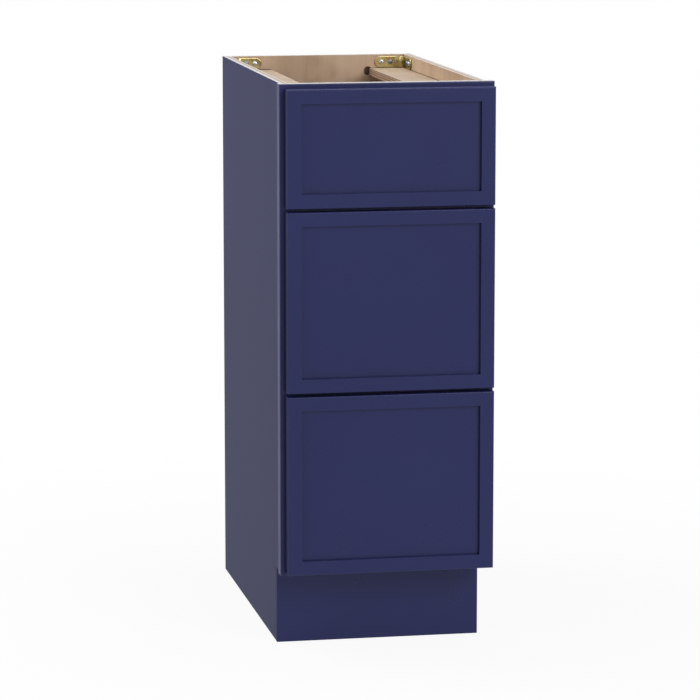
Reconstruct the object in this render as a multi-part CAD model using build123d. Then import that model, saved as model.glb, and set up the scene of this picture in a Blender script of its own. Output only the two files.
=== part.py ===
# Three-drawer bathroom vanity base: a plywood case with a toe kick, a solid face frame,
# overlay drawer fronts with a slim frame, dovetailed drawer boxes and undermount slides.
# Millimetres. X runs across the front to the right, Y from front to back, Z up.
# The origin is at floor level, under the middle of the whole cabinet.
import os
from math import radians, tan

from build123d import *

# Overall sizes
cabinet_width = 304.8
cabinet_height = 800.1
case_depth = 533.4
toe_height = 107.95
toe_setback = 50.8

# Case boards
side_thickness = 12.0
back_thickness = 12.0
bottom_thickness = 12.0
toe_thickness = 12.0
stretcher_thickness = 12.0
left_overhang = 3.2
right_overhang = 9.5
dado_depth = 5.0
back_rabbet = 6.0
dado_floor_gap = 0.4

# Face frame
frame_thickness = 19.05
stile_width = 38.1
rail_height = 38.1
side_groove_depth = 6.0
tenon_length = 9.5
tenon_thickness = 6.35
tenon_shoulder = 6.0

# Stretchers and hardware under the countertop
stretcher_drop = 20.6
stretcher_spacing = 152.4
stretcher_side_gap = 0.8
stretcher_back_gap = 7.0
bracket_thickness = 2.5
bracket_width = 17.0
bracket_back_leg = 46.0
bracket_side_leg = 60.0
bracket_bend = 12.0
bracket_end_flat = 0.1
bracket_drop = 3.0
bracket_outer_screw = 10.4
bracket_inner_screw = 24.0
hole_diameter = 13.5
hole_depth = 9.5
hole_offset = 1.5
hole_below_stretcher = 4.5

# Drawer fronts
front_thickness = 19.05
top_front_height = 165.1
left_reveal = 7.9
right_reveal = 2.4
top_reveal = 6.35
bottom_reveal = 3.18
front_gap = 4.76
front_frame_width = 20.0
front_recess = 6.0
tongue_thickness = 6.35
tongue_depth = 9.0
panel_float = 0.4
edge_ease = 1.6

# Drawer boxes
box_thickness = 12.7
box_side_gap = 8.5
box_lift = 10.0
box_headroom = 18.0
box_bottom_thickness = 6.0
box_bottom_rise = 13.0
box_groove_depth = 6.0
runner_notch_gap = 1.0
pin_pitch = 26.0
pin_width = 7.0
pin_slope = 9.0
glue_line = 0.05

# Undermount slides, measured from the frame opening towards the middle of the cabinet
slide_steel = 1.5
slide_bend = 1.0
slide_rise = 1.0
slide_setback = 3.0
slide_rear_space = 61.2
slide_flange_height = 24.0
slide_side_gap = 1.8
slide_channel_width = 21.0
slide_channel_height = 8.0
slide_running_gap = 0.4
drawer_rail_drop = 11.0
moving_rail_gap = 1.0
moving_rail_shortfall = 12.0
clip_thickness = 4.0
clip_overlap = 40.0
clip_plate_width = 38.0
clip_plate_thickness = 3.0
clip_plate_height = 30.0
clip_screw_offsets = (9.0, 24.0)
flange_screw_rise = 14.0

# Screws
screw_diameter = 3.6
screw_head_diameter = 7.4
screw_head_height = 2.0
screw_grip = 9.0
screw_clearance = 0.3
screw_facets = 12
front_screw_spacing = 120.0
front_screw_inset = 16.0

# Planes of the whole cabinet
overall_depth = case_depth + front_thickness
front_y = -overall_depth / 2
frame_front = front_y + front_thickness
frame_back = frame_front + frame_thickness
case_back = overall_depth / 2
back_inner = case_back - back_thickness
frame_left = -cabinet_width / 2
frame_right = cabinet_width / 2
left_outer = frame_left + left_overhang
left_inner = left_outer + side_thickness
right_outer = frame_right - right_overhang
right_inner = right_outer - side_thickness
opening_half = cabinet_width / 2 - stile_width
side_front = frame_back - side_groove_depth
toe_front = frame_front + toe_setback
toe_back = toe_front + toe_thickness
bottom_top = toe_height + bottom_thickness
stretcher_top = cabinet_height - stretcher_drop
stretcher_low = stretcher_top - stretcher_thickness

# Heights of the fronts and of the rails behind the gaps between them
front_left = frame_left + left_reveal
front_right = frame_right - right_reveal
fronts_low = toe_height + bottom_reveal
fronts_high = cabinet_height - top_reveal
lower_front_height = (fronts_high - fronts_low - top_front_height - 2 * front_gap) / 2
top_front_low = fronts_high - top_front_height
middle_front_high = top_front_low - front_gap
middle_front_low = middle_front_high - lower_front_height
bottom_front_high = middle_front_low - front_gap
upper_rail_mid = (top_front_low + middle_front_high) / 2
lower_rail_mid = (middle_front_low + bottom_front_high) / 2
rail_spans = {
    "top_rail": (cabinet_height - rail_height, cabinet_height),
    "upper_mid_rail": (upper_rail_mid - rail_height / 2, upper_rail_mid + rail_height / 2),
    "lower_mid_rail": (lower_rail_mid - rail_height / 2, lower_rail_mid + rail_height / 2),
    "bottom_rail": (toe_height, toe_height + rail_height),
}

# Each drawer: the span of its front, and the rails below and above its opening
drawers = {
    "top": ((top_front_low, fronts_high), "upper_mid_rail", "top_rail"),
    "middle": ((middle_front_low, middle_front_high), "lower_mid_rail", "upper_mid_rail"),
    "bottom": ((fronts_low, bottom_front_high), "bottom_rail", "lower_mid_rail"),
}

# Drawer box and slide limits along the depth
box_outer_half = opening_half - box_side_gap
box_inner_half = box_outer_half - box_thickness
slide_front = frame_front + slide_setback
slide_back = back_inner - slide_rear_space
slide_length = slide_back - slide_front
box_front_y = frame_front
box_back_y = box_front_y + slide_length
moving_rail_front = box_front_y + box_thickness + moving_rail_gap
slide_channel_start = box_side_gap + box_thickness + slide_side_gap
channel_end = slide_channel_start + slide_channel_width

parts = {}


def board(x_span, y_span, z_span):
    """Square-cut board between two limits along each axis."""
    spans = (x_span, y_span, z_span)
    middle = [(low + high) / 2 for low, high in spans]
    size = [high - low for low, high in spans]
    return Pos(*middle) * Box(*size)


def prism_x(outline, x_span):
    """Outline of (y, z) points, run along X."""
    face = Plane.YZ * make_face(Polyline(*outline, close=True))
    return Pos(x_span[0], 0, 0) * extrude(face, x_span[1] - x_span[0])


def prism_y(outline, y_span):
    """Outline of (x, z) points, run along Y."""
    face = Plane.XZ * make_face(Polyline(*outline, close=True))
    return Pos(0, y_span[1], 0) * extrude(face, y_span[1] - y_span[0])


def eased(piece, *sides):
    """Round the named sides of a piece's front face."""
    edges = piece.faces().sort_by(Axis.Y)[0].edges()
    picks = {
        "left": edges.sort_by(Axis.X)[0],
        "right": edges.sort_by(Axis.X)[-1],
        "bottom": edges.sort_by(Axis.Z)[0],
        "top": edges.sort_by(Axis.Z)[-1],
    }
    return fillet([picks[side] for side in sides], edge_ease)


def screw(seat, grip):
    """Screw with its head on the seat plane and a six-sided shank, without thread, behind it."""
    shank = Pos(0, 0, -grip) * extrude(RegularPolygon(screw_diameter / 2, 6), grip)
    head = extrude(RegularPolygon(screw_head_diameter / 2, screw_facets), screw_head_height)
    return seat * (head + shank)


def drilled(piece, seats, depth):
    """Screw holes with clearance, bored behind each seat plane to the given depth."""
    bore = extrude(RegularPolygon(screw_diameter / 2 + screw_clearance, screw_facets), depth)
    return piece - [seat * Pos(0, 0, -depth) * bore for seat in seats]


def seat_at(point, outward):
    """Plane that a screw head sits on, facing outward."""
    return Plane(origin=point, z_dir=outward)


def mirrored_points(points, side, base):
    """Slide section points, from the edge of the opening inwards and up, for one side."""
    return [(side * (opening_half - inward), base + up) for inward, up in points]


def bent(rail, corners, side, base, radius):
    """Round a slide member's lengthwise edges at the given section corners."""
    middle_y = rail.center(CenterOf.BOUNDING_BOX).Y
    lengthwise = rail.edges().filter_by(Axis.Y)
    points = [(x, middle_y, z) for x, z in mirrored_points(corners, side, base)]
    return fillet([lengthwise.sort_by_distance(point)[0] for point in points], radius)


def slide_base(drawer):
    """Height of a drawer's slides, just above the frame rail under its opening."""
    return rail_spans[drawers[drawer][1]][1] + slide_rise


# Places of the screws, each shared by the screw and by the boards that it holds
def flange_seats(drawer, side):
    """Screw through a cabinet rail's flange into the edge of the stile."""
    x = side * (opening_half - slide_steel)
    y = (frame_front + frame_back) / 2
    return [seat_at((x, y, slide_base(drawer) + flange_screw_rise), (-side, 0, 0))]


def clip_seats(drawer, side):
    """Screws through a rear clip's plate into the back panel."""
    y = back_inner - clip_plate_thickness
    z = slide_base(drawer) + clip_plate_height / 2
    return [seat_at((side * (opening_half - inward), y, z), (0, -1, 0)) for inward in clip_screw_offsets]


def front_seats(drawer):
    """Screws from inside a drawer box into its front."""
    low, high = box_span(drawer)
    rises = (low + box_bottom_rise + box_bottom_thickness + front_screw_inset, high - front_screw_inset)
    y = box_front_y + box_thickness
    return [seat_at((side * front_screw_spacing / 2, y, z), (0, 1, 0)) for side in (-1, 1) for z in rises]


def bracket_seats(x, inward):
    """Screws through a corner bracket: two into the back panel, two into the side panel."""
    z = cabinet_height - bracket_drop - bracket_width / 2
    seats = []
    for from_end in (bracket_outer_screw, bracket_inner_screw):
        back_x = x + inward * (bracket_back_leg - from_end)
        side_y = back_inner - (bracket_side_leg - from_end)
        seats.append(seat_at((back_x, back_inner - bracket_thickness, z), (0, -1, 0)))
        seats.append(seat_at((x + inward * bracket_thickness, side_y, z), (inward, 0, 0)))
    return seats


def box_span(drawer):
    """Lowest and highest level of a drawer box in its opening."""
    _, rail_below, rail_above = drawers[drawer]
    return rail_spans[rail_below][1] + box_lift, rail_spans[rail_above][0] - box_headroom


every_slide = [(drawer, side) for drawer in drawers for side in (-1, 1)]


def side_panel(outer, inner):
    """Case side with its toe notch, a dado for the bottom and a rabbet for the back."""
    outline = [
        (toe_back, 0),
        (case_back, 0),
        (case_back, cabinet_height),
        (side_front, cabinet_height),
        (side_front, toe_height),
        (toe_back, toe_height),
    ]
    panel = prism_x(outline, sorted((outer, inner)))
    inward = 1 if inner > outer else -1
    dado = sorted((inner - inward * dado_depth, inner))
    panel -= board(dado, (side_front, back_inner), (toe_height, bottom_top))
    rabbet = sorted((inner - inward * back_rabbet, inner))
    return panel - board(rabbet, (back_inner, case_back), (toe_height, cabinet_height))


def make_case():
    """Sides, bottom, back, toe kick and the two stretchers under the countertop."""
    parts["left_side_panel"] = side_panel(left_outer, left_inner)
    parts["right_side_panel"] = side_panel(right_outer, right_inner)

    dado_reach = dado_depth - dado_floor_gap
    bottom_x = (left_inner - dado_reach, right_inner + dado_reach)
    parts["bottom_panel"] = board(bottom_x, (frame_back, back_inner), (toe_height, bottom_top))

    back_x = (left_inner - back_rabbet, right_inner + back_rabbet)
    back = board(back_x, (back_inner, case_back), (toe_height, cabinet_height))
    bore_point = (stretcher_spacing / 2 - hole_offset, back_inner, stretcher_top - hole_below_stretcher)
    bore = Plane(origin=bore_point, z_dir=(0, 1, 0)) * Pos(0, 0, hole_depth / 2)
    parts["back_panel"] = back - bore * Cylinder(hole_diameter / 2, hole_depth)

    toe_x = (left_outer, right_outer)
    parts["toe_kick_board"] = board(toe_x, (toe_front, toe_back), (0, toe_height))

    height = (stretcher_low, stretcher_top)
    left_x = (left_inner + stretcher_side_gap, -stretcher_spacing / 2)
    right_x = (stretcher_spacing / 2, right_inner - stretcher_side_gap)
    parts["left_top_stretcher"] = board(left_x, (frame_back, back_inner - stretcher_back_gap), height)
    parts["right_top_stretcher"] = board(right_x, (frame_back, back_inner), height)


def tenon_z(span):
    """Height of a rail's tenon between its shoulders."""
    return span[0] + tenon_shoulder, span[1] - tenon_shoulder


def make_face_frame():
    """Two stiles grooved for the sides, and four rails with stub tenons."""
    middle = (frame_front + frame_back) / 2
    tenon_y = (middle - tenon_thickness / 2, middle + tenon_thickness / 2)
    depth = (frame_front, frame_back)
    stiles = {
        "left_stile": (-1, frame_left, (left_outer, left_inner)),
        "right_stile": (1, frame_right, (right_inner, right_outer)),
    }
    for name, (side, outer, groove_x) in stiles.items():
        inner = side * opening_half
        stile = board(sorted((outer, inner)), depth, (toe_height, cabinet_height))
        stile = eased(stile, "left" if side < 0 else "right", "top", "bottom")
        stile -= board(groove_x, (side_front, frame_back), (toe_height, cabinet_height))
        mortise_x = sorted((inner, inner + side * tenon_length))
        parts[name] = stile - [board(mortise_x, tenon_y, tenon_z(span)) for span in rail_spans.values()]

    tenon_half = opening_half + tenon_length
    for name, span in rail_spans.items():
        rail = board((-opening_half, opening_half), depth, span)
        if name == "top_rail":
            rail = eased(rail, "top")
        if name == "bottom_rail":
            rail = eased(rail, "bottom")
        parts[name] = rail + board((-tenon_half, tenon_half), tenon_y, tenon_z(span))


def corner_bracket(x_leg, y_leg):
    """Bent strip with full-round ends, legs along +X and +Y from the corner."""
    strip = Polyline(
        (0, y_leg),
        (0, 0),
        (x_leg, 0),
        (x_leg, bracket_thickness),
        (bracket_thickness, bracket_thickness),
        (bracket_thickness, y_leg),
        close=True,
    )
    bent = extrude(make_face(strip), bracket_width)
    crook = (bracket_thickness, bracket_thickness, bracket_width / 2)
    upright = bent.edges().filter_by(Axis.Z).sort_by_distance(crook)
    bent = fillet(upright[0], bracket_bend)
    corner = (0, 0, bracket_width / 2)
    upright = bent.edges().filter_by(Axis.Z).sort_by_distance(corner)
    bent = fillet(upright[0], bracket_bend + bracket_thickness)
    end_round = (bracket_width - bracket_end_flat) / 2
    x_end = bent.faces().sort_by(Axis.X)[-1].edges().filter_by(Axis.Y)
    bent = fillet(x_end, end_round)
    y_end = bent.faces().sort_by(Axis.Y)[-1].edges().filter_by(Axis.X)
    return fillet(y_end, end_round)


def make_brackets():
    """Corner brackets that hold the case square and take the countertop, with their screws."""
    low = cabinet_height - bracket_drop - bracket_width
    left = Rot(0, 0, -90) * corner_bracket(bracket_side_leg, bracket_back_leg)
    right = Rot(0, 0, 180) * corner_bracket(bracket_back_leg, bracket_side_leg)
    corners = {"left": (left, left_inner, 1), "right": (right, right_inner, -1)}
    screws = []
    for name, (bracket, x, inward) in corners.items():
        seats = bracket_seats(x, inward)
        seated = Pos(x, back_inner, low) * bracket
        parts[f"{name}_corner_bracket"] = drilled(seated, seats, 2 * bracket_thickness)
        screws += [screw(seat, screw_grip) for seat in seats]
    parts["corner_bracket_screws"] = Compound(children=screws)


def make_front(drawer):
    """Drawer front: two stiles, two rails and a recessed panel held in their grooves."""
    low, high = drawers[drawer][0]
    depth = (front_y, frame_front)
    tongue_y = (front_y + front_recess, front_y + front_recess + tongue_thickness)
    left_edge = front_left + front_frame_width
    right_edge = front_right - front_frame_width
    low_edge = low + front_frame_width
    high_edge = high - front_frame_width

    width = (left_edge, right_edge)
    tongue_x = (left_edge - tongue_depth, right_edge + tongue_depth)
    grooves = board(tongue_x, tongue_y, (low, high))

    left = eased(board((front_left, left_edge), depth, (low, high)), "left", "top", "bottom")
    right = eased(board((right_edge, front_right), depth, (low, high)), "right", "top", "bottom")
    parts[f"{drawer}_front_left_stile"] = left - grooves
    parts[f"{drawer}_front_right_stile"] = right - grooves

    top_groove = (high_edge, high_edge + tongue_depth)
    top = eased(board(width, depth, (high_edge, high)), "top")
    top += board(tongue_x, tongue_y, (high_edge + tongue_depth, high))
    parts[f"{drawer}_front_top_rail"] = top - board(width, tongue_y, top_groove)

    bottom_groove = (low_edge - tongue_depth, low_edge)
    bottom = eased(board(width, depth, (low, low_edge)), "bottom")
    bottom += board(tongue_x, tongue_y, (low, low_edge - tongue_depth))
    parts[f"{drawer}_front_bottom_rail"] = bottom - board(width, tongue_y, bottom_groove)

    reach = tongue_depth - panel_float
    panel = board(width, (front_y + front_recess, frame_front), (low_edge, high_edge))
    tongue = board((left_edge - reach, right_edge + reach), tongue_y, (low_edge - reach, high_edge + reach))
    parts[f"{drawer}_front_panel"] = panel + tongue


def pins(x_span, y_end, inward, z_span, growth):
    """Dovetail pins across a side board, with a half pin at its lower and upper edge."""
    low, high = z_span
    count = max(2, round((high - low) / pin_pitch))
    pitch = (high - low) / count
    narrow = pin_width / 2 + growth
    wide = narrow + box_thickness * tan(radians(pin_slope))
    y_base = y_end + inward * box_thickness
    shapes = []
    for step in range(count + 1):
        middle = low + step * pitch
        outline = [
            (y_end, max(low, middle - narrow)),
            (y_base, max(low, middle - wide)),
            (y_base, min(high, middle + wide)),
            (y_end, min(high, middle + narrow)),
        ]
        shapes.append(prism_x(outline, x_span))
    return shapes


def make_box(drawer):
    """Drawer box: sides with tails, front and back with pins, and a bottom in grooves."""
    span = box_span(drawer)
    low, high = span
    sides = {"left": (-box_outer_half, -box_inner_half), "right": (box_inner_half, box_outer_half)}
    ends = {"front": (box_front_y, 1), "back": (box_back_y, -1)}

    bottom_low = low + box_bottom_rise
    groove_z = (bottom_low, bottom_low + box_bottom_thickness)
    groove_half = box_inner_half + box_groove_depth
    groove_front = box_front_y + box_thickness - box_groove_depth
    groove_back = box_back_y - box_thickness + box_groove_depth
    groove = board((-groove_half, groove_half), (groove_front, groove_back), groove_z)
    float_half = groove_half - panel_float
    float_y = (groove_front + panel_float, groove_back - panel_float)
    parts[f"{drawer}_box_bottom"] = board((-float_half, float_half), float_y, groove_z)

    for name, (y_end, inward) in ends.items():
        y_span = sorted((y_end, y_end + inward * box_thickness))
        end = board((-box_inner_half, box_inner_half), y_span, span)
        for x_span in sides.values():
            end += pins(x_span, y_end, inward, span, 0)
        end -= groove
        if name == "back":
            notch = (slide_channel_start - runner_notch_gap, channel_end + runner_notch_gap)
            for side in (-1, 1):
                notch_x = sorted(side * (opening_half - inset) for inset in notch)
                end -= board(notch_x, y_span, (low, bottom_low))
        parts[f"{drawer}_box_{name}"] = end

    for name, x_span in sides.items():
        side = board(x_span, (box_front_y, box_back_y), span)
        for y_end, inward in ends.values():
            side -= pins(x_span, y_end, inward, span, glue_line)
        parts[f"{drawer}_box_{name}_side"] = side - groove

    screws = [screw(seat, box_thickness + screw_grip) for seat in front_seats(drawer)]
    parts[f"{drawer}_front_screws"] = Compound(children=screws)


def cabinet_rail(drawer, side):
    """Fixed slide member: a flange on the stile and a channel that the middle rail runs in."""
    start = slide_channel_start
    lip = slide_channel_height
    steel = slide_steel
    section = [
        (0, 0),
        (channel_end, 0),
        (channel_end, lip),
        (channel_end - steel, lip),
        (channel_end - steel, steel),
        (start + steel, steel),
        (start + steel, lip),
        (start, lip),
        (start, steel),
        (steel, steel),
        (steel, slide_flange_height),
        (0, slide_flange_height),
    ]
    base = slide_base(drawer)
    rail = prism_y(mirrored_points(section, side, base), (slide_front, slide_back))
    rail = bent(rail, [(steel, steel), (channel_end - steel, steel)], side, base, slide_bend)
    rail = bent(rail, [(0, 0), (channel_end, 0)], side, base, slide_bend + steel)
    return drilled(rail, flange_seats(drawer, side), 2 * slide_steel)


def runner_top(drawer):
    """Height of the top of the drawer rail, under the drawer bottom, above the slide's base."""
    return box_span(drawer)[0] + box_bottom_rise - slide_base(drawer)


def middle_rail(drawer, side):
    """Rolling slide member: a tube between the cabinet rail and the drawer rail."""
    inset = slide_steel + slide_running_gap
    start = slide_channel_start + inset
    end = channel_end - inset
    low = inset
    high = runner_top(drawer) - slide_steel - slide_running_gap
    steel = slide_steel
    base = slide_base(drawer)
    run = (moving_rail_front, slide_back - moving_rail_shortfall)
    outside = [(start, low), (end, low), (end, high), (start, high)]
    hollow = [
        (start + steel, low + steel),
        (end - steel, low + steel),
        (end - steel, high - steel),
        (start + steel, high - steel),
    ]
    tube = bent(prism_y(mirrored_points(outside, side, base), run), outside, side, base, slide_bend + steel)
    return tube - prism_y(mirrored_points(hollow, side, base), run)


def drawer_rail(drawer, side):
    """Moving slide member: an upside-down channel under the drawer bottom."""
    start = slide_channel_start
    steel = slide_steel
    top = runner_top(drawer)
    section = [
        (start, drawer_rail_drop),
        (start + steel, drawer_rail_drop),
        (start + steel, top - steel),
        (channel_end - steel, top - steel),
        (channel_end - steel, drawer_rail_drop),
        (channel_end, drawer_rail_drop),
        (channel_end, top),
        (start, top),
    ]
    base = slide_base(drawer)
    rail = prism_y(mirrored_points(section, side, base), (moving_rail_front, box_back_y))
    inside = [(start + steel, top - steel), (channel_end - steel, top - steel)]
    outside = [(start, top), (channel_end, top)]
    return bent(bent(rail, inside, side, base, slide_bend), outside, side, base, slide_bend + steel)


def rear_clip(drawer, side):
    """Moulded clip that carries a cabinet rail's rear end on the back panel."""
    base = slide_base(drawer)
    height = (base, base + slide_flange_height)
    arm_x = sorted(side * (opening_half + reach) for reach in (0, clip_thickness))
    arm = board(arm_x, (slide_back - clip_overlap, back_inner), height)
    plate_x = sorted(side * (opening_half + clip_thickness - reach) for reach in (0, clip_plate_width))
    plate_y = (back_inner - clip_plate_thickness, back_inner)
    plate = board(plate_x, plate_y, (base, base + clip_plate_height))
    shelf = board(plate_x, (slide_back, back_inner), (base, base + clip_plate_thickness))
    return drilled(arm + plate + shelf, clip_seats(drawer, side), 2 * clip_plate_thickness)


def make_slides():
    """Three pairs of slides, with the rear clips and screws that hold them in the case."""
    members = {"cabinet": cabinet_rail, "middle": middle_rail, "drawer": drawer_rail}
    for drawer in drawers:
        for name, make_rail in members.items():
            pair = [make_rail(drawer, side) for side in (-1, 1)]
            parts[f"{drawer}_{name}_rails"] = Compound(children=pair)
    parts["slide_rear_clips"] = Compound(children=[rear_clip(*slide) for slide in every_slide])
    seats = [seat for slide in every_slide for seat in flange_seats(*slide) + clip_seats(*slide)]
    parts["slide_screws"] = Compound(children=[screw(seat, screw_grip) for seat in seats])


make_case()
make_face_frame()
make_brackets()
for drawer in drawers:
    make_front(drawer)
    make_box(drawer)
make_slides()

os.makedirs("parts", exist_ok=True)
for name, shape in parts.items():
    export_step(shape, f"parts/{name}.step")
print(len(parts), "parts")
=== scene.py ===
import math

import bmesh
import bpy
from mathutils import Matrix, Vector


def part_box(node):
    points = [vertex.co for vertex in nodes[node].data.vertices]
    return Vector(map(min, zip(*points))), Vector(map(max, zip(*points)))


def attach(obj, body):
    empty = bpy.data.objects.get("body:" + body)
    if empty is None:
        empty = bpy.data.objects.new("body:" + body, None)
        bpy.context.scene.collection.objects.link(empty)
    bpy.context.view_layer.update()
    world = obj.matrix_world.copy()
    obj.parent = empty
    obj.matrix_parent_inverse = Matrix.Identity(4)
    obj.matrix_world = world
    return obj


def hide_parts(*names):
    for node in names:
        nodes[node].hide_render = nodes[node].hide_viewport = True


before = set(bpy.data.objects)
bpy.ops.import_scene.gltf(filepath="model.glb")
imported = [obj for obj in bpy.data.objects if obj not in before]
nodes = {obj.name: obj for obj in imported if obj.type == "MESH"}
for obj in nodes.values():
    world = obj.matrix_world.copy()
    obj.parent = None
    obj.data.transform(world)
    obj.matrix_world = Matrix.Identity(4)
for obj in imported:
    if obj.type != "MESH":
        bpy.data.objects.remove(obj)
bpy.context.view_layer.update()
drawerNames = ["top", "middle", "bottom"]
xAxis, yAxis, zAxis = range(3)
print("frame loaded,", len(nodes), "CAD nodes")


# shader tree helpers

faceLimit = 0.6  # least share of a normal along an axis, for a face with its eased edges
squareLimit = 0.9  # the same for a face that is nearly square to the axis
noiseLow, noiseMiddle, noiseHigh = 0.3, 0.5, 0.7  # most of a noise texture lies in this range


def startMaterial(name, roughness, metallic=0.0, specular=0.5):
    material = bpy.data.materials.new(name)
    material.use_nodes = True
    tree = material.node_tree
    shader = tree.nodes["Principled BSDF"]
    shader.inputs["Roughness"].default_value = roughness
    shader.inputs["Metallic"].default_value = metallic
    shader.inputs["Specular IOR Level"].default_value = specular
    return material, tree, shader


def addNode(tree, kind, inputs=None, **settings):
    made = tree.nodes.new("ShaderNode" + kind)
    for name, value in settings.items():
        setattr(made, name, value)
    for socket, value in (inputs or {}).items():
        if isinstance(value, bpy.types.NodeSocket):
            tree.links.new(value, made.inputs[socket])
        else:
            made.inputs[socket].default_value = value
    return made


def calc(tree, operation, first, second=0.0):
    return addNode(tree, "Math", {0: first, 1: second}, operation=operation).outputs[0]


def over(tree, value, limit):
    return calc(tree, "GREATER_THAN", value, limit)


def under(tree, value, limit):
    return calc(tree, "LESS_THAN", value, limit)


def allOf(tree, first, *masks):
    for mask in masks:
        first = calc(tree, "MULTIPLY", first, mask)
    return first


def weighted(tree, *parts):
    shares = [calc(tree, "MULTIPLY", value, share) for value, share in parts]
    total = shares[0]
    for share in shares[1:]:
        total = calc(tree, "ADD", total, share)
    return total


def remap(tree, value, low, high, newLow, newHigh):
    inputs = {0: value, 1: low, 2: high, 3: newLow, 4: newHigh}
    return addNode(tree, "MapRange", inputs).outputs[0]


def opaque(colour):
    return (*colour, 1)


def mixColour(tree, factor, first, second, blend="MIX"):
    inputs = {0: factor, 6: first, 7: second}  # 6 and 7 are the colour sockets
    return addNode(tree, "Mix", inputs, data_type="RGBA", blend_type=blend).outputs[2]


def bandStops(look, tint=1.0):
    return [(place, tuple(part * tint for part in look[tone])) for place, tone in look["bands"]]


def colourRamp(tree, factor, stops):
    made = addNode(tree, "ValToRGB", {0: factor})
    ramp = made.color_ramp
    for element, (place, colour) in ((ramp.elements[1], stops[-1]), (ramp.elements[0], stops[0])):
        element.position = place
        element.color = opaque(colour)
    for place, colour in stops[1:-1]:
        ramp.elements.new(place).color = opaque(colour)
    return made.outputs[0]


def objectPoint(tree):
    return addNode(tree, "TexCoord").outputs["Object"]


def objectNormal(tree):
    return addNode(tree, "TexCoord").outputs["Normal"]


def splitAxes(tree, vector):
    return addNode(tree, "SeparateXYZ", {0: vector}).outputs


def facing(tree, axis, sign, limit=faceLimit):
    along = splitAxes(tree, objectNormal(tree))[axis]
    return over(tree, calc(tree, "MULTIPLY", along, sign), limit)


def facingEitherWay(tree, axis, limit=faceLimit):
    along = splitAxes(tree, objectNormal(tree))[axis]
    return over(tree, calc(tree, "ABSOLUTE", along), limit)


def noise(tree, point, scale, detail=2.0, warp=0.0):
    inputs = {"Vector": point, "Scale": scale, "Detail": detail, "Distortion": warp}
    return addNode(tree, "TexNoise", inputs).outputs["Fac"]


def grainNoise(tree, point, axis, along, across, detail, warp=0.0):
    scales = tuple(along if place == axis else across for place in range(3))
    stretched = addNode(tree, "Mapping", {"Vector": point, "Scale": scales}).outputs[0]
    return noise(tree, stretched, 1.0, detail, warp)


def variedRoughness(tree, look, value, low=noiseLow, high=noiseHigh):
    rough = look["roughness"]
    return remap(tree, value, low, high, rough - look["glossier"], rough + look["duller"])


def addBump(tree, shader, height, strength, distance):
    inputs = {"Height": height, "Strength": strength, "Distance": distance}
    tree.links.new(addNode(tree, "Bump", inputs).outputs[0], shader.inputs["Normal"])


# navy paint on the fronts, the face frame and the toe kick

paint = {
    "deep": (0.0140, 0.0185, 0.098),
    "pale": (0.0170, 0.0225, 0.110),
    "bands": [(noiseLow, "deep"), (noiseHigh, "pale")],
    "cloudScale": 3.2,
    "roughness": 0.29,
    "glossier": 0.03,
    "duller": 0.04,
    "smudgeScale": 14,
    "specular": 0.28,
    "peelScale": 620,
    "peelBump": 0.22,
    "peelHeight": 0.00008,
}
# the ends of the fronts are darkened as painted shade, and the ends of both coats are rougher
coats = {
    "navyFrontPaint": {"bareTop": False, "endPaintedShade": 0.5, "endDulling": 0.45},
    "navyFramePaint": {"bareTop": True, "endPaintedShade": 1.0, "endDulling": 0.19},
}
rawEdge = {
    "wood": (0.68, 0.66, 0.655),
    "dark": (0.57, 0.545, 0.53),
    "bands": [(0.35, "dark"), (0.6, "wood")],
    "alongGrain": 30,
    "acrossGrain": 400,
    "paintLap": 0.0050,
    "lapWander": 0.0015,
    "wanderScale": 45,
}


def paintColour(tree, point, shade=1.0):
    return colourRamp(tree, noise(tree, point, paint["cloudScale"], detail=3), bandStops(paint, shade))


def bareTopEdge(tree, point):
    # bare wood on top of the frame, behind the paint that laps over its front arris
    grain = grainNoise(tree, point, xAxis, rawEdge["alongGrain"], rawEdge["acrossGrain"], detail=3)
    wander = noise(tree, point, rawEdge["wanderScale"], detail=3)
    wander = calc(tree, "MULTIPLY", wander, rawEdge["lapWander"])
    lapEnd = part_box("top_rail")[0].y + rawEdge["paintLap"]
    pastLap = over(tree, calc(tree, "ADD", splitAxes(tree, point)[yAxis], wander), lapEnd)
    isBare = allOf(tree, facing(tree, zAxis, 1.0, squareLimit), pastLap)
    return isBare, colourRamp(tree, grain, bandStops(rawEdge))


def navyPaint(name):
    coat = coats[name]
    material, tree, shader = startMaterial(name, paint["roughness"], specular=paint["specular"])
    point = objectPoint(tree)
    # what faces left or right is duller, and on the fronts darker too, a painted shade on their ends
    isEnd = facingEitherWay(tree, xAxis, squareLimit)
    colour = mixColour(tree, isEnd, paintColour(tree, point), paintColour(tree, point, coat["endPaintedShade"]))
    if coat["bareTop"]:
        isBare, wood = bareTopEdge(tree, point)
        colour = mixColour(tree, isBare, colour, wood)
    tree.links.new(colour, shader.inputs["Base Color"])
    rough = variedRoughness(tree, paint, noise(tree, point, paint["smudgeScale"], detail=4))
    rough = calc(tree, "ADD", rough, calc(tree, "MULTIPLY", isEnd, coat["endDulling"]))
    tree.links.new(rough, shader.inputs["Roughness"])
    addBump(tree, shader, noise(tree, point, paint["peelScale"]), paint["peelBump"], paint["peelHeight"])
    return material


# birch veneer, its plywood edges and solid drawer stock

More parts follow.
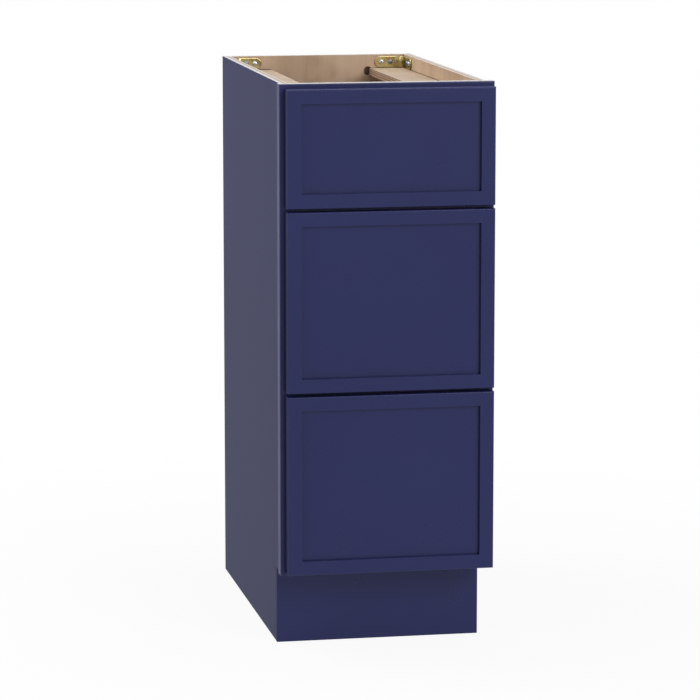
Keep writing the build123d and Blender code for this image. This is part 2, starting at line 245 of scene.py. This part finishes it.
birch = {
    "light": (0.66, 0.495, 0.355),
    "middle": (0.58, 0.425, 0.295),
    "dark": (0.47, 0.325, 0.215),
    "bands": [(0.34, "dark"), (0.49, "middle"), (0.64, "light")],
    "figureAlong": 2.2,
    "figureAcross": 46,
    "figureWarp": 0.8,
    "cloudWarp": 0.6,
    "fibreAlong": 22,
    "fibreAcross": 700,
    "fibreShare": 0.14,
    "fibreLow": 0.25,
    "fibreHigh": 0.75,
    "fibreBump": 0.18,
    "fibreHeight": 0.0002,
    "roughness": 0.46,
    "glossier": 0.05,
    "duller": 0.09,
    "specular": 0.35,
}
veneer = {"streak": 0.26, "cloudAlong": 20, "cloudAcross": 14}
calmVeneer = {"streak": 0.10, "cloudAlong": 6, "cloudAcross": 9}
boards = {"streak": 0.50, "cloudAlong": 5, "cloudAcross": 18}
# brightness of the one birch per piece: on the drawers and deck their own tone, on the sides, back and
# stretchers painted light and shade, lighter on the upright boards and darker on the stretchers' tops to
# even out how the lamps light them
toneAndShadeTints = {
    "leftSideBoard": 1.12,
    "rightSideBoard": 1.12,
    "backBoard": 1.11,
    "deckPlywood": 1.0,
    "leftStretcherPlywood": 0.88,
    "rightStretcherPlywood": 0.87,
    "drawerBottomPlywood": 1.05,
    "drawerSideBirch": 1.04,
    "drawerEndBirch": 1.04,
}
plies = {
    "light": (0.62, 0.46, 0.32),
    "dark": (0.27, 0.155, 0.105),
    "glue": (0.12, 0.07, 0.05),
    "bands": [(0.0, "glue"), (0.06, "light"), (0.47, "light"), (0.52, "glue"),
              (0.58, "dark"), (0.97, "dark")],
    "layer": 0.00171,
    "wobble": 0.0005,
    "wobbleScale": 60,
}
flecks = {
    "dark": (0.72, 0.70, 0.68),
    "clear": (1, 1, 1),
    "bands": [(0.3, "dark"), (0.62, "clear")],
    "scale": 900,
    "share": 0.8,
}
endGrain = {
    "light": (0.43, 0.295, 0.185),
    "dark": (0.28, 0.175, 0.105),
    "bands": [(0.35, "dark"), (0.6, "light")],
    "poreScale": 1500,
}


def veneerColour(tree, point, axis, tint, cut=veneer):
    figure = grainNoise(tree, point, axis, birch["figureAlong"], birch["figureAcross"],
                        detail=4, warp=birch["figureWarp"])
    fibre = grainNoise(tree, point, axis, birch["fibreAlong"], birch["fibreAcross"], detail=2)
    cloud = grainNoise(tree, point, axis, cut["cloudAlong"], cut["cloudAcross"],
                       detail=4, warp=birch["cloudWarp"])
    cloudShare = 1 - birch["fibreShare"] - cut["streak"]
    blended = weighted(tree, (figure, cut["streak"]), (fibre, birch["fibreShare"]), (cloud, cloudShare))
    return colourRamp(tree, blended, bandStops(birch, tint)), fibre


def plyEdgeColour(tree, point, thicknessAxis):
    wobble = calc(tree, "SUBTRACT", noise(tree, point, plies["wobbleScale"]), noiseMiddle)
    wobble = calc(tree, "MULTIPLY", wobble, plies["wobble"])
    across = calc(tree, "ADD", splitAxes(tree, point)[thicknessAxis], wobble)
    phase = calc(tree, "FRACT", calc(tree, "DIVIDE", across, 2 * plies["layer"]))
    fleck = noise(tree, point, flecks["scale"], detail=3)
    layers = colourRamp(tree, phase, bandStops(plies))
    return mixColour(tree, flecks["share"], layers, colourRamp(tree, fleck, bandStops(flecks)), "MULTIPLY")


def woodSurface(tree, shader, fibre):
    rough = variedRoughness(tree, birch, fibre, birch["fibreLow"], birch["fibreHigh"])
    tree.links.new(rough, shader.inputs["Roughness"])
    addBump(tree, shader, fibre, birch["fibreBump"], birch["fibreHeight"])


def plywood(name):
    # boards that lie flat, with the grain from front to back
    material, tree, shader = startMaterial(name, birch["roughness"], specular=birch["specular"])
    point = objectPoint(tree)
    face, fibre = veneerColour(tree, point, yAxis, toneAndShadeTints[name])
    edge = plyEdgeColour(tree, point, zAxis)
    colour = mixColour(tree, facingEitherWay(tree, zAxis), edge, face)
    tree.links.new(colour, shader.inputs["Base Color"])
    woodSurface(tree, shader, fibre)
    return material


def solidBirch(name, grainAxis):
    material, tree, shader = startMaterial(name, birch["roughness"], specular=birch["specular"])
    point = objectPoint(tree)
    face, fibre = veneerColour(tree, point, grainAxis, toneAndShadeTints[name], boards)
    pores = noise(tree, point, endGrain["poreScale"])
    sawnEnd = colourRamp(tree, pores, bandStops(endGrain))
    colour = mixColour(tree, facingEitherWay(tree, grainAxis), face, sawnEnd)
    tree.links.new(colour, shader.inputs["Base Color"])
    woodSurface(tree, shader, fibre)
    return material


# case sides and back

sideFace = {
    # share of the fronts' navy used on the outside, darker as painted shade
    "navyPaintedShade": 0.68,
    "topEdge": (0.74, 0.72, 0.71),
    "topPly": (0.56, 0.45, 0.36),
    "topGlue": (0.46, 0.36, 0.28),
    "bands": [(0.0, "topEdge"), (0.42, "topEdge"), (0.46, "topGlue"), (0.52, "topPly"),
              (0.80, "topPly"), (0.86, "topEdge")],
    "roughness": 0.50,
    "specular": 0.055,
    "bump": 0.15,
    "bumpHeight": 0.00012,
}
# colour of the shadow painted into the gaps behind the stretchers, and how far above their tops it reaches
paintedGapShadow = {"shade": (0.085, 0.052, 0.036), "rise": 0.0004}
bore = {
    "centreX": 0.0747,
    "centreZ": 0.775,
    "radius": 0.00675,
    "depth": 0.0095,
    "wallMargin": 0.0001,
    "floorMargin": 0.0002,
    "colour": (0.34, 0.22, 0.17),
}


# height band that takes the painted shadow behind the stretchers
def levelWithStretchers(tree, point):
    low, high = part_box("left_top_stretcher")
    height = splitAxes(tree, point)[zAxis]
    return allOf(tree, over(tree, height, low.z), under(tree, height, high.z + paintedGapShadow["rise"]))


def caseSide(name, node, outward):
    # navy outside, darker than the fronts' navy as painted shade, clear veneer inside, pale sanded edge on
    # top, bare plies at the back and below
    material, tree, shader = startMaterial(name, sideFace["roughness"], specular=sideFace["specular"])
    point = objectPoint(tree)
    face, fibre = veneerColour(tree, point, zAxis, toneAndShadeTints[name], calmVeneer)
    # painted shadow: the strip behind the stretcher is darkened, and shows as a thin line above it
    face = mixColour(tree, levelWithStretchers(tree, point), face, opaque(paintedGapShadow["shade"]))
    edge = plyEdgeColour(tree, point, xAxis)
    low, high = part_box(node)
    outer, inner = (low.x, high.x) if outward < 0 else (high.x, low.x)
    across = remap(tree, splitAxes(tree, point)[xAxis], outer, inner, 0.0, 1.0)
    top = colourRamp(tree, across, bandStops(sideFace))
    painted = facing(tree, xAxis, outward)
    colour = mixColour(tree, facingEitherWay(tree, xAxis), edge, face)
    colour = mixColour(tree, facing(tree, zAxis, 1.0), colour, top)
    # the outside takes the fronts' navy darkened, a painted shade on the side
    colour = mixColour(tree, painted, colour, paintColour(tree, point, sideFace["navyPaintedShade"]))
    tree.links.new(colour, shader.inputs["Base Color"])
    peel = noise(tree, point, paint["peelScale"])
    height = addNode(tree, "Mix", {0: painted, 2: fibre, 3: peel}).outputs[0]
    addBump(tree, shader, height, sideFace["bump"], sideFace["bumpHeight"])
    return material


def shadowBehindStretchers(tree, point):
    across = splitAxes(tree, point)[xAxis]
    left = under(tree, across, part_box("left_top_stretcher")[1].x)
    right = over(tree, across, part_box("right_top_stretcher")[0].x)
    beside = calc(tree, "MAXIMUM", left, right)
    return allOf(tree, beside, levelWithStretchers(tree, point), facing(tree, yAxis, -1.0))


def insideBore(tree, point):
    axes = splitAxes(tree, point)
    aside = calc(tree, "SUBTRACT", axes[xAxis], bore["centreX"])
    above = calc(tree, "SUBTRACT", axes[zAxis], bore["centreZ"])
    squares = [calc(tree, "MULTIPLY", part, part) for part in (aside, above)]
    reach = calc(tree, "SQRT", calc(tree, "ADD", *squares))
    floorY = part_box("back_panel")[0].y + bore["depth"] + bore["floorMargin"]
    withinWall = under(tree, reach, bore["radius"] + bore["wallMargin"])
    return allOf(tree, withinWall, under(tree, axes[yAxis], floorY))


def backBoard(name):
    # veneer with painted shadow in strips behind the stretchers, a pale top edge and a bore darkened by the
    # drill
    material, tree, shader = startMaterial(name, birch["roughness"], specular=birch["specular"])
    point = objectPoint(tree)
    face, fibre = veneerColour(tree, point, zAxis, toneAndShadeTints[name])
    edge = plyEdgeColour(tree, point, yAxis)
    colour = mixColour(tree, facingEitherWay(tree, yAxis), edge, face)
    # painted shadow on the back panel behind the stretchers' ends
    colour = mixColour(tree, shadowBehindStretchers(tree, point), colour, opaque(paintedGapShadow["shade"]))
    colour = mixColour(tree, facing(tree, zAxis, 1.0), colour, opaque(sideFace["topEdge"]))
    colour = mixColour(tree, insideBore(tree, point), colour, opaque(bore["colour"]))
    tree.links.new(colour, shader.inputs["Base Color"])
    woodSurface(tree, shader, fibre)
    return material


# plated metal and moulded plastic

plating = {
    "cellShare": 0.22,
    "hazeScale": 0.25,  # this and the grain's scale are shares of the spangle's
    "grainScale": 3,
    "grainHeight": 0.0001,
    "glossier": 0.05,
    "duller": 0.08,
}
metals = {
    "yellowZinc": {
        "colours": [(0.36, 0.285, 0.12), (0.44, 0.365, 0.16), (0.47, 0.41, 0.20)],
        "roughness": 0.22, "spangle": 120, "grainBump": 0.05, "metallic": 1.0,
    },
    "galvanisedSheet": {
        "colours": [(0.46, 0.48, 0.50), (0.60, 0.62, 0.64), (0.68, 0.70, 0.72)],
        "roughness": 0.34, "spangle": 130, "grainBump": 0.08, "metallic": 1.0,
    },
    "brightZinc": {
        "colours": [(0.52, 0.54, 0.58), (0.66, 0.68, 0.72)],
        "roughness": 0.30, "spangle": 900, "grainBump": 0.1, "metallic": 0.75,
    },
    "dullZinc": {
        "colours": [(0.15, 0.18, 0.22), (0.23, 0.27, 0.33)],
        "roughness": 0.42, "spangle": 900, "grainBump": 0.1, "metallic": 1.0,
    },
}
clipPlastic = {
    "light": (0.30, 0.31, 0.33),
    "dark": (0.255, 0.2635, 0.2805),
    "bands": [(noiseLow, "dark"), (noiseHigh, "light")],
    "shadeScale": 30,
    "roughness": 0.5,
    "specular": 0.4,
    "grainScale": 2600,
    "grainBump": 0.25,
    "grainHeight": 0.00005,
}


def platedMetal(name):
    look = {**plating, **metals[name]}
    material, tree, shader = startMaterial(name, look["roughness"], metallic=look["metallic"])
    point = objectPoint(tree)
    cells = addNode(tree, "TexVoronoi", {"Vector": point, "Scale": look["spangle"]}).outputs["Color"]
    haze = noise(tree, point, look["spangle"] * look["hazeScale"], detail=3)
    cellShare = look["cellShare"]
    blended = weighted(tree, (splitAxes(tree, cells)[0], cellShare), (haze, 1 - cellShare))
    step = (noiseHigh - noiseLow) / (len(look["colours"]) - 1)
    stops = [(noiseLow + step * place, colour) for place, colour in enumerate(look["colours"])]
    tree.links.new(colourRamp(tree, blended, stops), shader.inputs["Base Color"])
    tree.links.new(variedRoughness(tree, look, blended), shader.inputs["Roughness"])
    grain = noise(tree, point, look["spangle"] * look["grainScale"])
    addBump(tree, shader, grain, look["grainBump"], look["grainHeight"])
    return material


def mouldedPlastic(name):
    look = clipPlastic
    material, tree, shader = startMaterial(name, look["roughness"], specular=look["specular"])
    point = objectPoint(tree)
    colour = colourRamp(tree, noise(tree, point, look["shadeScale"]), bandStops(look))
    tree.links.new(colour, shader.inputs["Base Color"])
    addBump(tree, shader, noise(tree, point, look["grainScale"]), look["grainBump"], look["grainHeight"])
    return material


# finishes of the CAD nodes that stay

frontPaint = navyPaint("navyFrontPaint")
framePaint = navyPaint("navyFramePaint")
yellowZinc = platedMetal("yellowZinc")
galvanised = platedMetal("galvanisedSheet")
brightZinc = platedMetal("brightZinc")
dullZinc = platedMetal("dullZinc")
longBoard = solidBirch("drawerSideBirch", yAxis)
crossBoard = solidBirch("drawerEndBirch", xAxis)
drawerBottom = plywood("drawerBottomPlywood")
brackets = ["left_corner_bracket", "right_corner_bracket"]
finishes = {
    "left_side_panel": caseSide("leftSideBoard", "left_side_panel", -1.0),
    "right_side_panel": caseSide("rightSideBoard", "right_side_panel", 1.0),
    "back_panel": backBoard("backBoard"),
    "bottom_panel": plywood("deckPlywood"),
    "left_top_stretcher": plywood("leftStretcherPlywood"),
    "right_top_stretcher": plywood("rightStretcherPlywood"),
    "toe_kick_board": frontPaint,
    "slide_rear_clips": mouldedPlastic("greyClipPlastic"),
}
for name in ("left_stile", "right_stile", "top_rail", "upper_mid_rail", "lower_mid_rail", "bottom_rail"):
    finishes[name] = framePaint
for name in brackets:
    finishes[name] = yellowZinc
for drawer in drawerNames:
    for part in ("left_stile", "right_stile", "top_rail", "bottom_rail", "panel"):
        finishes[f"{drawer}_front_{part}"] = frontPaint
    for part in ("left_side", "right_side"):
        finishes[f"{drawer}_box_{part}"] = longBoard
    for part in ("front", "back"):
        finishes[f"{drawer}_box_{part}"] = crossBoard
    finishes[f"{drawer}_box_bottom"] = drawerBottom
    for part in ("cabinet_rails", "middle_rails", "drawer_rails"):
        finishes[f"{drawer}_{part}"] = galvanised
for name, material in finishes.items():
    nodes[name].data.materials.clear()
    nodes[name].data.materials.append(material)
print("finishes set on", len(finishes), "nodes")


# eased arrises on the boards and the sheet metal

arris = {
    "board": 0.0005,
    "metal": 0.0007,
    "segments": 3,
    "weld": 0.000002,
    "flatDegrees": 1,
    "sharpDegrees": 40,
}


def easeEdges(name, width):
    piece = nodes[name]
    weld = piece.modifiers.new("joinFaces", "WELD")
    weld.merge_threshold = arris["weld"]
    flatten = piece.modifiers.new("wholeFaces", "DECIMATE")
    flatten.decimate_type = "DISSOLVE"
    flatten.angle_limit = math.radians(arris["flatDegrees"])
    bevel = piece.modifiers.new("easedEdge", "BEVEL")
    bevel.width = width
    bevel.segments = arris["segments"]
    bevel.limit_method = "ANGLE"
    bevel.angle_limit = math.radians(arris["sharpDegrees"])
    bevel.harden_normals = False


for side in ("left", "right"):
    easeEdges(f"{side}_side_panel", arris["board"])
    easeEdges(f"{side}_top_stretcher", arris["board"])
easeEdges("back_panel", arris["board"])
for name in brackets:
    easeEdges(name, arris["metal"])
for drawer in drawerNames:
    for part in ("left_side", "right_side", "front", "back"):
        easeEdges(f"{drawer}_box_{part}", arris["board"])
print("edges eased")


# cross-head screws in place of the plain CAD ones

screwShape = {
    "headRadius": 0.0037,
    "headHeight": 0.0020,
    # shares of the radius and the height, from the middle of the head to its rim
    "dome": [(0, 1), (0.45, 0.98), (0.78, 0.80), (0.95, 0.48), (1, 0.12), (1, 0)],
    "shankRadius": 0.0017,
    "straight": 0.75,  # share of the shank above its point
    "sides": 28,
    "crossLength": 0.0046,
    "crossWidth": 0.0013,
    "crossDepth": 0.0013,
    "lengthTaper": 0.45,
    "widthTaper": 0.8,
    "firstTurn": 0.7,
    "nextTurn": 1.9,
    "innerHole": 0.017,  # bracket screws further than this from the leg's end are inner ones
}
samePoint = 0.000001  # lathed points nearer than this are one
sameCadPoint = 0.000005  # the same for the CAD mesh
sameEnd = 0.0001  # how near to a screw's end its rim is looked for
lengthDigits = 5  # screws share a blank when their lengths agree to this
placeDigits = 4  # screws are turned in the order of their places, rounded to this
dullSlot = 1  # place of the dull zinc among a screw's materials


def lathe(profile, sides):
    builder = bmesh.new()
    chain = [builder.verts.new((radius, 0, height)) for radius, height in profile]
    edges = [builder.edges.new(pair) for pair in zip(chain, chain[1:])]
    bmesh.ops.spin(builder, geom=chain + edges, cent=(0, 0, 0), axis=(0, 0, 1), angle=math.tau, steps=sides)
    bmesh.ops.remove_doubles(builder, verts=builder.verts, dist=samePoint)
    bmesh.ops.recalc_face_normals(builder, faces=builder.faces)
    mesh = bpy.data.meshes.new("lathed")
    builder.to_mesh(mesh)
    builder.free()
    return mesh


def crossCutter():
    # two crossed bars that narrow towards the bottom of the recess
    builder = bmesh.new()
    depth = screwShape["crossDepth"]
    for turn in (0, math.pi / 2):
        made = bmesh.ops.create_cube(builder, size=1.0)["verts"]
        for vert in made:
            isTop = vert.co.z > 0
            vert.co.x *= screwShape["crossLength"] * (1.0 if isTop else screwShape["lengthTaper"])
            vert.co.y *= screwShape["crossWidth"] * (1.0 if isTop else screwShape["widthTaper"])
            vert.co.z = screwShape["headHeight"] + (depth if isTop else -depth)
        bmesh.ops.rotate(builder, verts=made, matrix=Matrix.Rotation(turn, 3, "Z"))
    mesh = bpy.data.meshes.new("crossCutter")
    builder.to_mesh(mesh)
    builder.free()
    # the recess walls take the darker zinc, a painted shade in the cross
    mesh.materials.append(dullZinc)
    return mesh


def screwMesh(length):
    head, height, shank = (screwShape[size] for size in ("headRadius", "headHeight", "shankRadius"))
    tip = height - length
    profile = [(head * out, height * up) for out, up in screwShape["dome"]]
    profile += [(shank, 0), (shank, screwShape["straight"] * tip), (0, tip)]
    blank = lathe(profile, screwShape["sides"])
    blank.materials.append(brightZinc)
    body = bpy.data.objects.new("screwBlank", blank)
    cutter = bpy.data.objects.new("crossCutter", crossCutter())
    for piece in (body, cutter):
        bpy.context.scene.collection.objects.link(piece)
    cut = body.modifiers.new("cross", "BOOLEAN")
    cut.object = cutter
    cut.solver = "EXACT"
    cut.use_self = True
    # the darker zinc in the cross recess is painted shade
    cut.material_mode = "TRANSFER"  # the recess keeps the cutter's dull zinc
    mesh = bpy.data.meshes.new_from_object(body.evaluated_get(bpy.context.evaluated_depsgraph_get()))
    for piece in (body, cutter):
        bpy.data.objects.remove(piece)
    return mesh


def cornersOf(points):
    low = Vector([min(point[axis] for point in points) for axis in range(3)])
    high = Vector([max(point[axis] for point in points) for axis in range(3)])
    return low, high


def placeOf(points):
    low, high = cornersOf(points)
    return tuple(round(part, placeDigits) for part in (low + high) / 2)


def plainScrews(node):
    # the screws of a CAD node, each as a list of points
    builder = bmesh.new()
    builder.from_mesh(nodes[node].data)
    bmesh.ops.remove_doubles(builder, verts=builder.verts, dist=sameCadPoint)
    unseen = set(builder.verts)
    found = []
    while unseen:
        queue = [unseen.pop()]
        group = []
        while queue:
            vert = queue.pop()
            group.append(vert.co.copy())
            near = {edge.other_vert(vert) for edge in vert.link_edges} & unseen
            unseen -= near
            queue.extend(near)
        found.append(group)
    builder.free()
    return sorted(found, key=placeOf)


def axisVector(axis):
    return Vector([1.0 if place == axis else 0.0 for place in range(3)])


def screwPlace(points):
    # seat under the head, outward direction and length, read from the plain CAD screw
    low, high = cornersOf(points)
    span = high - low
    axis = max(range(3), key=lambda place: span[place])
    middle = (low + high) / 2
    radius = {}
    for sign, end in ((-1, low[axis]), (1, high[axis])):
        rim = [point for point in points if abs(point[axis] - end) < sameEnd]
        radius[sign] = max((point - middle).cross(axisVector(axis)).length for point in rim)
    outward = axisVector(axis) * (1 if radius[1] > radius[-1] else -1)
    top = middle + outward * span[axis] / 2
    return top - outward * screwShape["headHeight"], outward, span[axis]


def placeScrews(node, body, pieceName, isDull=None):
    builder = bmesh.new()
    blanks = {}
    for number, points in enumerate(plainScrews(node)):
        seat, outward, length = screwPlace(points)
        key = round(length, lengthDigits)
        blanks[key] = blanks.get(key) or screwMesh(length)
        firstVert, firstFace = len(builder.verts), len(builder.faces)
        builder.from_mesh(blanks[key])
        builder.verts.ensure_lookup_table()
        builder.faces.ensure_lookup_table()
        turn = Matrix.Rotation(screwShape["firstTurn"] + screwShape["nextTurn"] * number, 4, "Z")
        place = Matrix.Translation(seat) @ outward.to_track_quat("Z", "Y").to_matrix().to_4x4() @ turn
        bmesh.ops.transform(builder, matrix=place, verts=builder.verts[firstVert:])
        if isDull and isDull(seat):
            for face in builder.faces[firstFace:]:
                face.material_index = dullSlot
    mesh = bpy.data.meshes.new(pieceName)
    builder.to_mesh(mesh)
    builder.free()
    mesh.materials.append(brightZinc)
    mesh.materials.append(dullZinc)
    piece = bpy.data.objects.new(pieceName, mesh)
    bpy.context.scene.collection.objects.link(piece)
    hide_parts(node)
    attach(piece, body)


def innerBracketHole(seat):
    # the hole nearer the bend holds a duller screw
    left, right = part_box("left_corner_bracket"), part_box("right_corner_bracket")
    fromEnd = min(abs(left[1].x - seat.x), abs(seat.x - right[0].x), seat.y - left[0].y)
    return fromEnd > screwShape["innerHole"]


placeScrews("corner_bracket_screws", "case", "bracketCrossScrews", innerBracketHole)
placeScrews("slide_screws", "case", "slideCrossScrews")
for drawer in drawerNames:
    placeScrews(f"{drawer}_front_screws", f"{drawer}_drawer", f"{drawer}FrontCrossScrews")
print("cross-head screws placed")


# pale floor, world and lamps

paleFloor = {
    "size": 60.0,
    "floor": (0.92, 0.92, 0.92),
    "roughness": 0.9,
    "nearGlow": 0.92,
    "glowReach": (0.4, 1.3),
    "underGlow": 0.25,
    "underReach": 0.09,
}
roomLight = {"background": 1.0, "ambient": 0.26}
lamps = {
    "keyLamp": {"place": (1.9, -3.8, 2.35), "aim": (0, -0.1, 0.5), "size": (2.2, 2.0), "power": 77},
    "overheadLamp": {"place": (0.2, 0.05, 3.0), "aim": (0, -0.1, 0.7), "size": (0.9, 0.9), "power": 13},
    "backLamp": {"place": (-1.8, 1.0, 2.4), "aim": (0, 0, 0.7), "size": (1.6, 1.6), "power": 34},
    "edgeLamp": {"place": (-2.2, -0.75, 0.95), "aim": (0, -0.3, 0.6), "size": (0.25, 1.3), "power": 6},
}


def seesBackground(tree):
    path = addNode(tree, "LightPath").outputs
    seen = calc(tree, "MAXIMUM", path["Is Camera Ray"], path["Is Glossy Ray"])
    return calc(tree, "MAXIMUM", seen, path["Is Transmission Ray"])


def shadeUnderCabinet(tree, point):
    # the floor behind the toe kick lies in the cabinet's own shadow
    axes = splitAxes(tree, point)
    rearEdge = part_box("back_panel")[1].y
    reachStart, fullLoss = rearEdge - paleFloor["underReach"], 1.0 - paleFloor["underGlow"]
    loss = allOf(
        tree,
        remap(tree, axes[yAxis], reachStart, rearEdge, fullLoss, 0.0),
        over(tree, axes[xAxis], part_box("left_side_panel")[1].x),
        under(tree, axes[xAxis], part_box("right_side_panel")[0].x),
        over(tree, axes[yAxis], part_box("toe_kick_board")[1].y),
    )
    return calc(tree, "SUBTRACT", 1.0, loss)


def floorMaterial(name):
    material, tree, shader = startMaterial(name, paleFloor["roughness"], specular=0.0)
    shader.inputs["Base Color"].default_value = opaque(paleFloor["floor"])
    glow = addNode(tree, "Emission", {"Color": (1, 1, 1, 1), "Strength": 1.0}).outputs[0]
    point = objectPoint(tree)
    away = addNode(tree, "VectorMath", {0: point}, operation="LENGTH").outputs["Value"]
    level = remap(tree, away, *paleFloor["glowReach"], paleFloor["nearGlow"], 1.0)
    level = calc(tree, "MULTIPLY", level, shadeUnderCabinet(tree, point))
    share = calc(tree, "MULTIPLY", seesBackground(tree), level)
    shown = addNode(tree, "MixShader", {0: share, 1: shader.outputs[0], 2: glow}).outputs[0]
    tree.links.new(shown, tree.nodes["Material Output"].inputs[0])
    return material


def makeFloor():
    mesh = bpy.data.meshes.new("paleFloor")
    builder = bmesh.new()
    bmesh.ops.create_grid(builder, x_segments=1, y_segments=1, size=paleFloor["size"] / 2)
    builder.to_mesh(mesh)
    builder.free()
    mesh.materials.append(floorMaterial("paleFloor"))
    floor = bpy.data.objects.new("paleFloor", mesh)
    bpy.context.scene.collection.objects.link(floor)


def makeWorld():
    world = bpy.data.worlds.new("studioWhite")
    bpy.context.scene.world = world
    world.use_nodes = True
    tree = world.node_tree
    backdrop = tree.nodes["Background"]
    backdrop.inputs["Color"].default_value = (1, 1, 1, 1)
    level = remap(tree, seesBackground(tree), 0.0, 1.0, roomLight["ambient"], roomLight["background"])
    tree.links.new(level, backdrop.inputs["Strength"])


def makeLamp(name, lamp):
    light = bpy.data.lights.new(name, "AREA")
    light.shape = "RECTANGLE"
    light.size, light.size_y = lamp["size"]
    light.energy = lamp["power"]
    made = bpy.data.objects.new(name, light)
    made.location = lamp["place"]
    aim = Vector(lamp["aim"]) - Vector(lamp["place"])
    made.rotation_euler = aim.to_track_quat("-Z", "Y").to_euler()
    bpy.context.scene.collection.objects.link(made)


makeFloor()
makeWorld()
for name, lamp in lamps.items():
    makeLamp(name, lamp)
print("floor, world and", len(lamps), "lamps placed")


# camera at the photograph's viewing angle

photoCamera = {
    "place": (-0.9512, -4.9584, 1.1946),
    "turnDegrees": 10.816,
    "downDegrees": 9.111,
    "focalPixels": 3467,
    "framePixels": 700,
    "sensor": 36.0,
    "clipEnd": 200,
}


def makeCamera():
    lens = bpy.data.cameras.new("photoCamera")
    lens.sensor_width = photoCamera["sensor"]
    lens.lens = photoCamera["focalPixels"] / photoCamera["framePixels"] * photoCamera["sensor"]
    lens.clip_end = photoCamera["clipEnd"]
    camera = bpy.data.objects.new("photoCamera", lens)
    camera.location = photoCamera["place"]
    camera.rotation_euler = (math.radians(90 - photoCamera["downDegrees"]), 0,
                             math.radians(-photoCamera["turnDegrees"]))
    bpy.context.scene.collection.objects.link(camera)
    bpy.context.scene.camera = camera


makeCamera()
bpy.context.scene.view_settings.view_transform = "Standard"
print("camera set")
